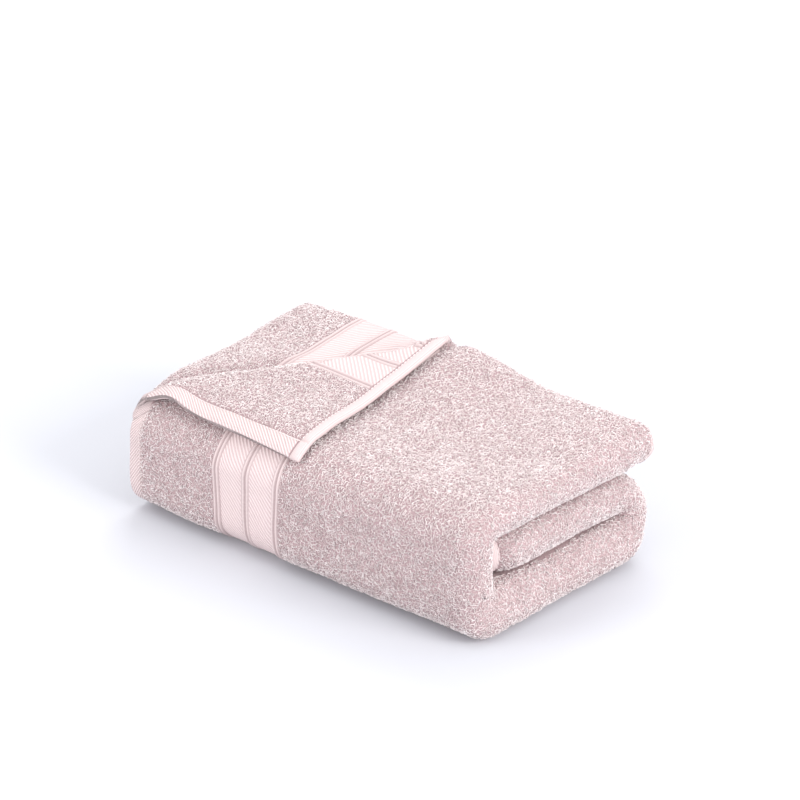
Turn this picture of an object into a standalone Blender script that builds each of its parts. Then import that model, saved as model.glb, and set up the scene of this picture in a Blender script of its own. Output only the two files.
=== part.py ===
# A bath towel, folded twice across its length and in thirds across its width, with the
# corner of its outermost layer turned back over the top.
#
# Frame: +X runs from the end hems to the crosswise folds, +Y from the front fold to the
# rear fold, +Z is up. The origin is under the middle of the package.
#
# The cloth is described twice. A "section" is drawn in (depth, x): it runs along the
# towel's length, through the four layers that lie on each other. A "path" is drawn in
# (y, z): it carries that section round the folds in thirds. Sweeping one along the other
# makes every woven zone of the cloth a solid of its own.

import math

import bmesh
import bpy
from mathutils import Matrix, Vector

# The package
LENGTH = 0.350
WIDTH = 0.213
LAYER_GAP = 0.0004
TERRY_THICK = 0.0081
LAYERS = 4
PITCH = TERRY_THICK + LAYER_GAP
STACK = LAYERS * TERRY_THICK + (LAYERS - 1) * LAYER_GAP
PANEL_GAP = 0.0008
REAR_INNER_GAP = 0.0016
FRONT_RADIUS = 0.035
FREE_EDGE_GAP = 0.004
FRONT_STEPS = 5
REAR_STEPS = 8
LOOP_STEPS = 8

# Thickness of the flat woven zones, which lie recessed between the pile
BORDER_THICK = 0.0055
RIB_THICK = 0.0067
HEM_THICK = 0.0055
SIDE_HEM_THICK = 0.0050

# Zones along the length, measured from the end hem
ZONE_GAP = 0.0003
HEM_WIDTH = 0.013
END_TERRY_WIDTH = 0.075
RIB_WIDTH = 0.0075
TWILL_WIDTHS = (0.023, 0.022)
SIDE_HEM_WIDTH = 0.009

# Sewing thread
SEAM_THICK = 0.0005
SEAM_WIDTH = 0.0007
SEAM_LIFT = 0.0003
SEAM_INSET = 0.0012

HALF_LENGTH = LENGTH / 2
HALF_WIDTH = WIDTH / 2
REAR_RADIUS = STACK + REAR_INNER_GAP / 2
MIDDLE_TOP = 2 * REAR_RADIUS
HEIGHT = MIDDLE_TOP + PANEL_GAP + STACK
REAR_EDGE_Y = 0.100
FREE_EDGE_Y = -HALF_WIDTH + STACK + FREE_EDGE_GAP
FRONT_TURN_Y = -HALF_WIDTH + FRONT_RADIUS
REAR_TURN_Y = HALF_WIDTH - REAR_RADIUS
BORDER_START = HEM_WIDTH + END_TERRY_WIDTH
BORDER_WIDTH = 3 * RIB_WIDTH + sum(TWILL_WIDTHS)
BORDER_END = BORDER_START + BORDER_WIDTH

# The turned-back corner: its tip, the far end of its crease, and the length of its hem
TIP = Vector((-0.012, -0.086, HEIGHT + 0.0008))
PEAK = Vector((-0.012, 0.0975, HEIGHT + 0.016))
FLAP_HEM_LENGTH = 0.163
CREASE_GAP = 0.0008
ROLL_START = 0.012
ROLL_END = 0.006
ROLL_STEPS = 10

# How far a cutter goes past what it cuts
CUT_OVER = 0.015
CUT_REACH = 0.4
CUT_DEPTH = 0.2

TERRY_COLOUR = (0.79, 0.64, 0.64)
TWILL_COLOUR = (0.86, 0.71, 0.71)
RIB_COLOUR = (0.80, 0.63, 0.63)
HEM_COLOUR = (0.84, 0.68, 0.68)
THREAD_COLOUR = (0.88, 0.76, 0.76)


def clearScene():
    for item in list(bpy.data.objects):
        bpy.data.objects.remove(item)


def newCollection(name):
    group = bpy.data.collections.new(name)
    bpy.context.scene.collection.children.link(group)
    return group


def fabric(name, colour, roughness):
    material = bpy.data.materials.new(name)
    material.use_nodes = True
    shader = material.node_tree.nodes["Principled BSDF"]
    shader.inputs["Base Color"].default_value = (*colour, 1.0)
    shader.inputs["Roughness"].default_value = roughness
    shader.inputs["Metallic"].default_value = 0.0
    return material


def arc(centre, radius, start, end, steps):
    points = []
    for i in range(steps + 1):
        angle = start + (end - start) * i / steps
        points.append((centre[0] + radius * math.cos(angle), centre[1] + radius * math.sin(angle)))
    return points


# ---- The letter fold, as the outer surface seen from the end, in (y, z) ----


def topPath(rearEdge):
    """From the free side edge forward over the top, to the front wall."""
    centre = (FRONT_TURN_Y, HEIGHT - FRONT_RADIUS)
    return [(rearEdge, HEIGHT)] + arc(centre, FRONT_RADIUS, math.pi / 2, math.pi, FRONT_STEPS)


def foldPath():
    quarter = math.pi / 2
    points = topPath(REAR_EDGE_Y)
    points += arc((FRONT_TURN_Y, FRONT_RADIUS), FRONT_RADIUS, 2 * quarter, 3 * quarter, FRONT_STEPS)
    points += arc((REAR_TURN_Y, REAR_RADIUS), REAR_RADIUS, -quarter, quarter, REAR_STEPS)
    points.append((FREE_EDGE_Y, MIDDLE_TOP))
    return points


def pathLength(points):
    return sum(math.dist(a, b) for a, b in zip(points, points[1:]))


def pointAt(points, distance):
    """The point of a path at a distance along it."""
    walked = 0.0
    for a, b in zip(points, points[1:]):
        step = math.dist(a, b)
        if distance <= walked + step:
            break
        walked += step
    share = min((distance - walked) / step, 1.0)
    return (a[0] + (b[0] - a[0]) * share, a[1] + (b[1] - a[1]) * share)


def trimmed(points, start, end):
    """The stretch of a path between two distances along it."""
    corners = [p for i, p in enumerate(points) if start < pathLength(points[: i + 1]) < end]
    return [pointAt(points, start)] + corners + [pointAt(points, end)]


# ---- The stack of layers, as sections in (depth, x); depth is measured from the outside ----


def layerDepth(layer):
    return TERRY_THICK / 2 + (layer - 1) * PITCH


def slab(layer, start, end, thick):
    """A straight zone of one layer, between two distances from its end hem."""
    middle = layerDepth(layer)
    low = -HALF_LENGTH + start
    high = -HALF_LENGTH + end
    near = middle - thick / 2
    far = middle + thick / 2
    return [(near, low), (near, high), (far, high), (far, low)]


def snakeSide(start, offset):
    """One side of the whole cloth, from layer 1 round the folds to layer 2, seen as a line
    at an offset from the cloth's middle; a positive offset is the side that faces out."""
    outer = 1.5 * PITCH
    inner = 0.5 * PITCH
    right = HALF_LENGTH - outer - TERRY_THICK / 2
    left = -HALF_LENGTH + inner + TERRY_THICK / 2
    half = math.pi
    points = [(layerDepth(1) - offset, -HALF_LENGTH + start)]
    middle = (layerDepth(1) + layerDepth(4)) / 2
    points += arc((middle, right), outer + offset, half, 0, LOOP_STEPS)
    middle = (layerDepth(3) + layerDepth(4)) / 2
    points += arc((middle, left), inner + offset, 0, -half, LOOP_STEPS)
    middle = (layerDepth(2) + layerDepth(3)) / 2
    points += arc((middle, right), inner - offset, 0, half, LOOP_STEPS)
    points.append((layerDepth(2) + offset, -HALF_LENGTH + start))
    return points


def snake(start, near, far):
    return snakeSide(start, far) + list(reversed(snakeSide(start, near)))


# ---- Sweeping a section along a path ----


def flatCurve(name, points, closed):
    curve = bpy.data.curves.new(name, "CURVE")
    curve.dimensions = "2D"
    curve.fill_mode = "NONE"
    spline = curve.splines.new("POLY")
    spline.points.add(len(points) - 1)
    for point, place in zip(spline.points, points):
        point.co = (place[0], place[1], 0.0, 1.0)
    spline.use_cyclic_u = closed
    return bpy.data.objects.new(name, curve)


def asMesh(curveObject, name):
    """The curve as a closed mesh object of the same place."""
    bpy.context.view_layer.update()
    seen = curveObject.evaluated_get(bpy.context.evaluated_depsgraph_get())
    mesh = bpy.data.meshes.new_from_object(seen)
    shape = bmesh.new()
    shape.from_mesh(mesh)
    bmesh.ops.remove_doubles(shape, verts=shape.verts, dist=1e-6)
    bmesh.ops.recalc_face_normals(shape, faces=shape.faces)
    shape.to_mesh(mesh)
    shape.free()
    made = bpy.data.objects.new(name, mesh)
    made.matrix_world = curveObject.matrix_world.copy()
    return made


def sweep(name, section, path, group):
    """Carries a section along a path. The curve's own x, y and z are the world's y, z and x."""
    profile = flatCurve(name + "_section", [(-depth, x) for depth, x in section], True)
    rail = flatCurve(name + "_path", path, False)
    rail.rotation_euler = (math.pi / 2, 0.0, math.pi / 2)
    rail.data.bevel_mode = "OBJECT"
    rail.data.bevel_object = profile
    rail.data.use_fill_caps = True
    group.objects.link(profile)
    group.objects.link(rail)
    made = asMesh(rail, name)
    group.objects.link(made)
    bpy.data.objects.remove(rail)
    bpy.data.objects.remove(profile)
    return made


def plate(name, outline, thick, group):
    """A flat outline given thickness above its own plane."""
    drawn = flatCurve(name + "_outline", outline, True)
    drawn.data.fill_mode = "BOTH"
    drawn.data.extrude = thick / 2
    group.objects.link(drawn)
    made = asMesh(drawn, name)
    group.objects.link(made)
    bpy.data.objects.remove(drawn)
    return made


def finish(item, material):
    item.data.materials.clear()
    item.data.materials.append(material)
    item.data.shade_smooth()
    item.data.set_sharp_from_angle(angle=math.radians(30))


# ---- The turned-back corner's own plane: x from the end hem, y from the side edge ----


def flapFrame():
    along = (PEAK - TIP).normalized()
    across = Vector((-along.y, along.x, 0.0)).normalized()
    up = along.cross(across)
    turn = Matrix((along, across, up)).transposed().to_4x4()
    return Matrix.Translation(TIP) @ turn


def creaseFoot():
    return flapFrame() @ Vector((0.0, FLAP_HEM_LENGTH, 0.0))


def creaseWidth(distance):
    """How far the flap reaches from its side edge, at a distance from its end hem."""
    side = (PEAK - TIP).length
    slant = math.hypot(side, FLAP_HEM_LENGTH) / side
    return FLAP_HEM_LENGTH * (1 - distance / side) - CREASE_GAP * slant


def creaseDistance(width):
    """The distance from the end hem at which the flap is this wide."""
    side = (PEAK - TIP).length
    slant = math.hypot(side, FLAP_HEM_LENGTH) / side
    return side * (1 - (width + CREASE_GAP * slant) / FLAP_HEM_LENGTH)


def cornerCutter(cutters):
    """What is missing from the outermost layer: the layer's depth, beyond the crease."""
    foot = creaseFoot()
    run = Vector((PEAK.x - foot.x, PEAK.y - foot.y, 0.0)).normalized()
    side = Vector((run.y, -run.x, 0.0))
    near = foot + side * CREASE_GAP - run * CUT_REACH
    far = Vector((PEAK.x, PEAK.y, 0.0)) + side * CREASE_GAP + run * CUT_REACH
    outline = [near, far, far - side * CUT_REACH, near - side * CUT_REACH]
    prism = plate("corner_prism", [(p.x, p.y) for p in outline], CUT_DEPTH, cutters)
    prism.location.z = HEIGHT
    below = PITCH - LAYER_GAP / 2
    depthBand = [(-CUT_OVER, -HALF_LENGTH - CUT_OVER), (-CUT_OVER, HALF_LENGTH)]
    depthBand += [(below, HALF_LENGTH), (below, -HALF_LENGTH - CUT_OVER)]
    cutter = sweep("corner_cutter", depthBand, topPath(REAR_EDGE_Y + CUT_OVER), cutters)
    meet = cutter.modifiers.new("within_prism", "BOOLEAN")
    meet.operation = "INTERSECT"
    meet.object = prism
    for item in (prism, cutter):
        item.hide_render = True
        item.display_type = "WIRE"
    return cutter


def cutCorner(item, cutter):
    cut = item.modifiers.new("turned_back_corner", "BOOLEAN")
    cut.operation = "DIFFERENCE"
    cut.object = cutter


# ---- The zones of the cloth ----


def borderZones():
    """The woven border, from the end hem inwards: each zone's name, start, end and kind."""
    zones = []
    at = BORDER_START
    for i, twill in enumerate(TWILL_WIDTHS):
        zones.append((f"ribs_{i + 1}", at, at + RIB_WIDTH, "ribs"))
        at += RIB_WIDTH
        zones.append((f"twill_{i + 1}", at, at + twill, "twill"))
        at += twill
    zones.append((f"ribs_{len(TWILL_WIDTHS) + 1}", at, at + RIB_WIDTH, "ribs"))
    return zones


def endZones():
    """Every straight zone at one end of the cloth, outermost first."""
    zones = [("end_hem", 0.0, HEM_WIDTH, "hem")]
    zones.append(("end_terry", HEM_WIDTH, BORDER_START, "terry"))
    return zones + [("border_" + name, a, b, kind) for name, a, b, kind in borderZones()]


def zoneThickness(kind):
    return {"hem": HEM_THICK, "terry": TERRY_THICK, "ribs": RIB_THICK, "twill": BORDER_THICK}[kind]


def buildCloth(path, cutter, looks, group):
    total = pathLength(path)
    body = trimmed(path, SIDE_HEM_WIDTH + ZONE_GAP, total - SIDE_HEM_WIDTH - ZONE_GAP)
    half = TERRY_THICK / 2
    field = sweep("terry_field", snake(BORDER_END + ZONE_GAP, -half, half), body, group)
    cutCorner(field, cutter)
    finish(field, looks["terry"])
    for end, layer in (("a", 1), ("b", 2)):
        for name, start, stop, kind in endZones():
            inner = start + ZONE_GAP if start else 0.0
            section = slab(layer, inner, stop, zoneThickness(kind))
            zone = sweep(f"{name}_{end}", section, body, group)
            if layer == 1:
                cutCorner(zone, cutter)
            finish(zone, looks[kind])


def buildSideHems(path, cutter, looks, group):
    total = pathLength(path)
    half = SIDE_HEM_THICK / 2
    outline = snake(0.0, -half, half)
    outer = sweep("side_hem_outer", outline, trimmed(path, 0.0, SIDE_HEM_WIDTH), group)
    cutCorner(outer, cutter)
    inner = sweep("side_hem_inner", outline, trimmed(path, total - SIDE_HEM_WIDTH, total), group)
    for hem in (outer, inner):
        finish(hem, looks["hem"])


def buildSeams(path, cutter, looks, group):
    """The sewing threads along the four hems, each lying just above its hem."""
    total = pathLength(path)
    body = trimmed(path, SIDE_HEM_WIDTH + ZONE_GAP, total - SIDE_HEM_WIDTH - ZONE_GAP)
    seams = []
    for end, layer in (("a", 1), ("b", 2)):
        near = layerDepth(layer) - HEM_THICK / 2 - SEAM_LIFT - SEAM_THICK
        low = -HALF_LENGTH + HEM_WIDTH - SEAM_INSET - SEAM_WIDTH
        section = [(near, low), (near, low + SEAM_WIDTH)]
        section += [(near + SEAM_THICK, low + SEAM_WIDTH), (near + SEAM_THICK, low)]
        seams.append(sweep(f"end_hem_seam_{end}", section, body, group))
    offset = SIDE_HEM_THICK / 2 + SEAM_LIFT
    outline = snake(HEM_WIDTH, offset, offset + SEAM_THICK)
    start = SIDE_HEM_WIDTH - SEAM_INSET - SEAM_WIDTH
    stretch = trimmed(path, start, start + SEAM_WIDTH)
    seams.append(sweep("side_hem_seam_outer", outline, stretch, group))
    stretch = trimmed(path, total - start - SEAM_WIDTH, total - start)
    seams.append(sweep("side_hem_seam_inner", outline, stretch, group))
    cutCorner(seams[0], cutter)
    cutCorner(seams[2], cutter)
    for seam in seams:
        finish(seam, looks["thread"])


# ---- The turned-back corner ----


def bandOutline(start, stop, low):
    """A zone of the flap: between two distances from the end hem, from a width to the crease."""
    last = min(stop, creaseDistance(low))
    outline = [(start, low), (last, low)]
    if last == stop:
        outline.append((stop, creaseWidth(stop)))
    outline.append((start, creaseWidth(start)))
    return outline


def buildFlap(looks, group):
    frame = flapFrame()
    foot = creaseFoot()
    hinge = bpy.data.objects.new("corner_hinge", None)
    hinge.location = foot
    group.objects.link(hinge)
    low = SIDE_HEM_WIDTH + ZONE_GAP
    pieces = []
    for name, start, stop, kind in endZones():
        thick = zoneThickness(kind)
        inner = start + ZONE_GAP if start else 0.0
        zone = plate("flap_" + name, bandOutline(inner, stop, low), thick, group)
        pieces.append((zone, kind, TERRY_THICK / 2))
    field = plate("flap_terry", bandOutline(BORDER_END + ZONE_GAP, 1.0, low), TERRY_THICK, group)
    pieces.append((field, "terry", TERRY_THICK / 2))
    hemTip = creaseDistance(0.0)
    outline = [(0.0, 0.0), (hemTip, 0.0), (creaseDistance(SIDE_HEM_WIDTH), SIDE_HEM_WIDTH)]
    outline.append((0.0, SIDE_HEM_WIDTH))
    sideHem = plate("flap_side_hem", outline, SIDE_HEM_THICK, group)
    pieces.append((sideHem, "hem", TERRY_THICK / 2))
    pieces += flapSeams(group)
    for item, kind, height in pieces:
        item.matrix_world = frame @ Matrix.Translation((0.0, 0.0, height))
        item.parent = hinge
        item.matrix_parent_inverse = Matrix.Translation(foot).inverted()
        finish(item, looks[kind])


def flapSeams(group):
    """The same two threads where the corner shows its reverse, above its hems."""
    start = HEM_WIDTH - SEAM_INSET - SEAM_WIDTH
    above = (TERRY_THICK + HEM_THICK) / 2 + SEAM_LIFT + SEAM_THICK / 2
    across = bandOutline(start, start + SEAM_WIDTH, SIDE_HEM_WIDTH)
    endSeam = plate("flap_end_seam", across, SEAM_THICK, group)
    inner = SIDE_HEM_WIDTH - SEAM_INSET - SEAM_WIDTH
    outer = inner + SEAM_WIDTH
    outline = [(HEM_WIDTH, inner), (creaseDistance(inner), inner)]
    outline += [(creaseDistance(outer), outer), (HEM_WIDTH, outer)]
    sideSeam = plate("flap_side_seam", outline, SEAM_THICK, group)
    aboveSide = (TERRY_THICK + SIDE_HEM_THICK) / 2 + SEAM_LIFT + SEAM_THICK / 2
    return [(endSeam, "thread", above), (sideSeam, "thread", aboveSide)]


def buildFold(looks, group):
    """The half-round roll of cloth that joins the outermost layer to its turned-back corner."""
    foot = creaseFoot()
    run = (PEAK - foot).normalized()
    flat = Vector((run.x, run.y, 0.0)).normalized()
    side = Vector((flat.y, -flat.x, 0.0))
    gap = (CREASE_GAP - ZONE_GAP) * side
    under = HEIGHT - TERRY_THICK
    half = math.pi / 2
    profile = flatCurve("fold_section", arc((0.0, 0.0), 1.0, half, 3 * half, ROLL_STEPS), True)
    rail = bpy.data.curves.new("fold_rail", "CURVE")
    rail.dimensions = "3D"
    rail.twist_mode = "Z_UP"
    spline = rail.splines.new("POLY")
    spline.points.add(1)
    length = (PEAK - foot).length
    for point, along in zip(spline.points, (ROLL_START, length - ROLL_END)):
        place = foot + run * along
        radius = (place.z + TERRY_THICK - under) / 2
        point.co = (place.x + gap.x, place.y + gap.y, under + radius, 1.0)
        point.radius = radius
    rail.bevel_mode = "OBJECT"
    rail.bevel_object = profile
    rail.use_fill_caps = True
    railObject = bpy.data.objects.new("fold_rail", rail)
    group.objects.link(profile)
    group.objects.link(railObject)
    roll = asMesh(railObject, "flap_fold")
    group.objects.link(roll)
    bpy.data.objects.remove(railObject)
    bpy.data.objects.remove(profile)
    finish(roll, looks["terry"])


def main():
    clearScene()
    towel = newCollection("folded_bath_towel")
    cutters = newCollection("cutters")
    looks = {
        "terry": fabric("terry", TERRY_COLOUR, 0.95),
        "twill": fabric("twill", TWILL_COLOUR, 0.70),
        "ribs": fabric("ribs", RIB_COLOUR, 0.80),
        "hem": fabric("hem", HEM_COLOUR, 0.80),
        "thread": fabric("thread", THREAD_COLOUR, 0.60),
    }
    path = foldPath()
    cutter = cornerCutter(cutters)
    buildCloth(path, cutter, looks, towel)
    buildSideHems(path, cutter, looks, towel)
    buildSeams(path, cutter, looks, towel)
    buildFlap(looks, towel)
    buildFold(looks, towel)
    print("foot of the crease", tuple(round(c, 4) for c in creaseFoot()))


main()
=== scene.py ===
import math

import bmesh
import bpy
import numpy as np
from mathutils import Matrix, Vector, noise
from mathutils.bvhtree import BVHTree


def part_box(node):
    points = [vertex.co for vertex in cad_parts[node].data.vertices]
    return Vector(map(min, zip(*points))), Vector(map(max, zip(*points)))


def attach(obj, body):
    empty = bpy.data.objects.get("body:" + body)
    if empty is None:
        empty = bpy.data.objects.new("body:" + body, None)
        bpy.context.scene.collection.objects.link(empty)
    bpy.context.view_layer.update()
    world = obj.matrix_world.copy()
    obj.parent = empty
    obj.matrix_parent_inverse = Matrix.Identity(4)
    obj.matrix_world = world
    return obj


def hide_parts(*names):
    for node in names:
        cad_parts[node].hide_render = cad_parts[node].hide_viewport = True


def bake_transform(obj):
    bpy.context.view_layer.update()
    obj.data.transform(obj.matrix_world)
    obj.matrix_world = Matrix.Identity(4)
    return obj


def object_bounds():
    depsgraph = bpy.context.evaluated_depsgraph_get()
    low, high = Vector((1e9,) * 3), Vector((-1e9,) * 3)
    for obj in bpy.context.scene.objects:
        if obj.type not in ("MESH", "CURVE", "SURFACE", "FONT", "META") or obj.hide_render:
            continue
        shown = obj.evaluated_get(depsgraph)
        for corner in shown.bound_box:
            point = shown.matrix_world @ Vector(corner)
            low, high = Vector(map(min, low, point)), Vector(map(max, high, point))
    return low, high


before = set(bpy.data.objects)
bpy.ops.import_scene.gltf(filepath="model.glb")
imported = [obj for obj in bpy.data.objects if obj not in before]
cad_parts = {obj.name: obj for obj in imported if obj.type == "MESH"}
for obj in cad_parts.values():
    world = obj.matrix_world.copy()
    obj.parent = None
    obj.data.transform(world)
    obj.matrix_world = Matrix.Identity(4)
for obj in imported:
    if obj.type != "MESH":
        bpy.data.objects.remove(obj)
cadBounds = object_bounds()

# The towel is one sheet of cloth. Its flat place is (along, across): along runs from the
# outer end hem to the inner one, across from the free side edge at the top of the package
# to the side edge inside it. fold() lays that sheet into the package, soften() settles it.


def ease(value, low, high):
    t = np.clip((value - low) / (high - low), 0.0, 1.0)
    return t * t * (3 - 2 * t)


def mix(a, b, share):
    return a + (b - a) * share


def spaced(start, end, step):
    count = max(1, round((end - start) / step))
    return list(np.linspace(start, end, count + 1))


# Sizes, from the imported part

halfLength = cadBounds[1].x
halfWidth = cadBounds[1].y
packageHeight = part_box("terry_field")[1].z
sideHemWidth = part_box("side_hem_outer")[1].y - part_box("side_hem_outer")[0].y
zoneKinds = ("hem", "terry", "ribs", "twill", "ribs", "twill", "ribs")
zoneNodes = ("end_hem", "end_terry", "border_ribs_1", "border_twill_1", "border_ribs_2",
             "border_twill_2", "border_ribs_3")
zoneEnds = [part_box(name + "_a")[1].x + halfLength for name in zoneNodes]
zoneStarts = [0.0] + zoneEnds[:-1]
hemWidth = zoneEnds[0]

sheetFold = {"thick": 0.0081, "gap": 0.0004, "panelGap": 0.0008, "frontRadius": 0.035,
             "freeEdge": 0.002, "layers": 4}
pitch = sheetFold["thick"] + sheetFold["gap"]
stack = sheetFold["layers"] * pitch - sheetFold["gap"]
rearRadius = (packageHeight - sheetFold["panelGap"] - stack) / 2
frontRadius = sheetFold["frontRadius"]
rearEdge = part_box("side_hem_outer")[1].y
frontTurn = -halfWidth + frontRadius
rearTurn = halfWidth - rearRadius
freeEdge = -halfWidth + stack + sheetFold["freeEdge"]

outerTurn = 1.5 * pitch
innerTurn = 0.5 * pitch
rightTurn = halfLength - outerTurn - sheetFold["thick"] / 2
leftTurn = -halfLength + innerTurn + sheetFold["thick"] / 2
depths = [sheetFold["thick"] / 2 + i * pitch for i in range(sheetFold["layers"])]
straight = rightTurn + halfLength
alongMarks = list(np.cumsum([straight, math.pi * outerTurn, rightTurn - leftTurn, math.pi * innerTurn,
                             rightTurn - leftTurn, math.pi * innerTurn, straight]))
totalAlong = alongMarks[-1]
quarter = frontRadius * math.pi / 2

# The free side edge of the top panel curls down behind the package
rearBend = {"radius": 0.010, "angle": math.radians(100), "share": 0.5, "inset": 0.25, "past": 0.0055}
bendY = rearEdge + rearBend["past"] - rearBend["radius"]
bendLength = rearBend["radius"] * rearBend["angle"]
acrossMarks = list(np.cumsum([bendLength + bendY - frontTurn, quarter, packageHeight - 2 * frontRadius,
                              quarter, rearTurn - frontTurn, math.pi * rearRadius, rearTurn - freeEdge]))
totalAcross = acrossMarks[-1]

# The inner end of the sheet is a little longer under the top panel, and hangs over the left end
drape = {"extra": 0.033, "bend": 0.006, "edge": -0.1702, "inset": 0.009,
         "reach": (0.19, 0.22), "slack": (0.20, 0.33), "leftEnd": (0.10, 0.17)}


# Depth below the package's outside, and x, for points of the sheet
def section(along, across):
    m = alongMarks
    d = depths
    x = -halfLength + along
    depth = np.full_like(along, d[0])
    turn = (along - m[0]) / outerTurn
    inside = (along > m[0]) & (along <= m[1])
    x = np.where(inside, rightTurn + outerTurn * np.sin(turn), x)
    depth = np.where(inside, (d[0] + d[3]) / 2 - outerTurn * np.cos(turn), depth)
    inside = (along > m[1]) & (along <= m[2])
    x = np.where(inside, rightTurn - (along - m[1]), x)
    depth = np.where(inside, d[3], depth)
    turn = (along - m[2]) / innerTurn
    inside = (along > m[2]) & (along <= m[3])
    x = np.where(inside, leftTurn - innerTurn * np.sin(turn), x)
    depth = np.where(inside, (d[2] + d[3]) / 2 + innerTurn * np.cos(turn), depth)
    inside = (along > m[3]) & (along <= m[4])
    x = np.where(inside, leftTurn + (along - m[3]), x)
    depth = np.where(inside, d[2], depth)
    turn = (along - m[4]) / innerTurn
    inside = (along > m[4]) & (along <= m[5])
    x = np.where(inside, rightTurn + innerTurn * np.sin(turn), x)
    depth = np.where(inside, (d[1] + d[2]) / 2 + innerTurn * np.cos(turn), depth)
    inside = along > m[5]
    fromEnd = totalAlong - along
    hanging = 1 - ease(across, *drape["reach"])
    raw = -halfLength + fromEnd - drape["extra"] * hanging * (1 - ease(fromEnd, *drape["slack"]))
    past = np.maximum(drape["edge"] - raw, 0.0)
    bend = drape["bend"]
    turn = np.minimum(past / bend, math.pi / 2)
    hungX = np.where(past > 0, drape["edge"] - bend * np.sin(turn), raw)
    hungDepth = d[1] + bend * (1 - np.cos(turn)) + np.maximum(past - bend * math.pi / 2, 0.0)
    x = np.where(inside, mix(raw, hungX, hanging), x)
    depth = np.where(inside, mix(d[1], hungDepth, hanging), depth)
    tucked = (along > m[1]) & (along <= m[5])
    x = x + np.where(tucked, drape["inset"] * hanging * ease(-x, *drape["leftEnd"]), 0.0)
    middle = ease(across, acrossMarks[4], acrossMarks[5])
    x = x + drape["inset"] * middle * ease(-x, *drape["leftEnd"])
    return depth, x


# (y, z) of points at a depth inside the path that the package's outside follows
def wrap(across, depth):
    m = acrossMarks
    h = packageHeight
    r = frontRadius - depth
    y = bendY + bendLength - across
    turn = (1 - across / bendLength) * rearBend["angle"] * (1 - rearBend["share"] * depth / stack)
    inside = across < bendLength
    inwards = rearBend["inset"] * depth * (1 - across / bendLength)
    y = np.where(inside, bendY + rearBend["radius"] * np.sin(turn) - inwards, y)
    z = h - depth - np.where(inside, rearBend["radius"] * (1 - np.cos(turn)), 0.0)
    turn = (across - m[0]) / frontRadius
    inside = (across > m[0]) & (across <= m[1])
    y = np.where(inside, frontTurn - r * np.sin(turn), y)
    z = np.where(inside, h - frontRadius + r * np.cos(turn), z)
    inside = (across > m[1]) & (across <= m[2])
    y = np.where(inside, -halfWidth + depth, y)
    z = np.where(inside, h - frontRadius - (across - m[1]), z)
    turn = (across - m[2]) / frontRadius
    inside = (across > m[2]) & (across <= m[3])
    y = np.where(inside, frontTurn - r * np.cos(turn), y)
    z = np.where(inside, frontRadius - r * np.sin(turn), z)
    inside = (across > m[3]) & (across <= m[4])
    y = np.where(inside, frontTurn + (across - m[3]), y)
    z = np.where(inside, depth, z)
    turn = (across - m[4]) / rearRadius
    inside = (across > m[4]) & (across <= m[5])
    y = np.where(inside, rearTurn + (rearRadius - depth) * np.sin(turn), y)
    z = np.where(inside, rearRadius - (rearRadius - depth) * np.cos(turn), z)
    inside = across > m[5]
    y = np.where(inside, rearTurn - (across - m[5]), y)
    z = np.where(inside, 2 * rearRadius - depth, z)
    return y, z


def fold(along, across):
    depth, x = section(along, across)
    y, z = wrap(across, depth)
    return np.stack([x, y, z], axis=-1)


# How the package has settled

settle = {
    "leftHeight": 0.970, "rightHeight": 1.055,
    "lowCrease": (0.40, 0.385), "highCrease": (0.735, 0.69), "lips": (0.0, 0.15), "closed": 0.0022,
    "recess": 0.004, "edgeRecess": 0.010, "edgeBand": 0.022, "middleStart": 0.03, "rightEnd": (0.12, 0.17),
    "sagFront": 0.0047, "sagRight": 0.0035, "sagLevels": (0.06, 0.33),
    "sagFrontZone": (0.04, 0.085), "sagRightZone": (0.13, 0.165),
    "upperLevels": (0.5, 0.95), "crown": 0.004, "crownFront": (0.04, 0.09), "crownEnd": (0.02, 0.12),
    "leftDroop": 0.003, "droopZone": (0.145, 0.178), "droopBack": (-0.05, 0.05),
    "rearLift": 0.0035, "rearZone": (0.02, 0.09),
    "freed": 0.0121, "freedZone": (-0.012, 0.030), "freedLevels": (0.45, 0.85),
    "tent": 0.0145, "tentX": -0.018, "tentSpread": (0.034, 0.058), "tentStart": -0.04,
    "tentAlong": 0.06, "tentAcross": 0.10,
    "lump": 0.0016, "lumpSize": 0.055, "ripple": 0.0006, "rippleSize": 0.022, "seed": 7,
    "steady": 0.012, "floorGap": 0.0004,
}
noise.seed_set(settle["seed"])  # left alone, the lumps follow the clock


def lumps(points, size, amount):
    moves = np.array([noise.noise_vector(Vector(p) / size) for p in points])
    return moves.reshape(-1, 3) * amount


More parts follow.
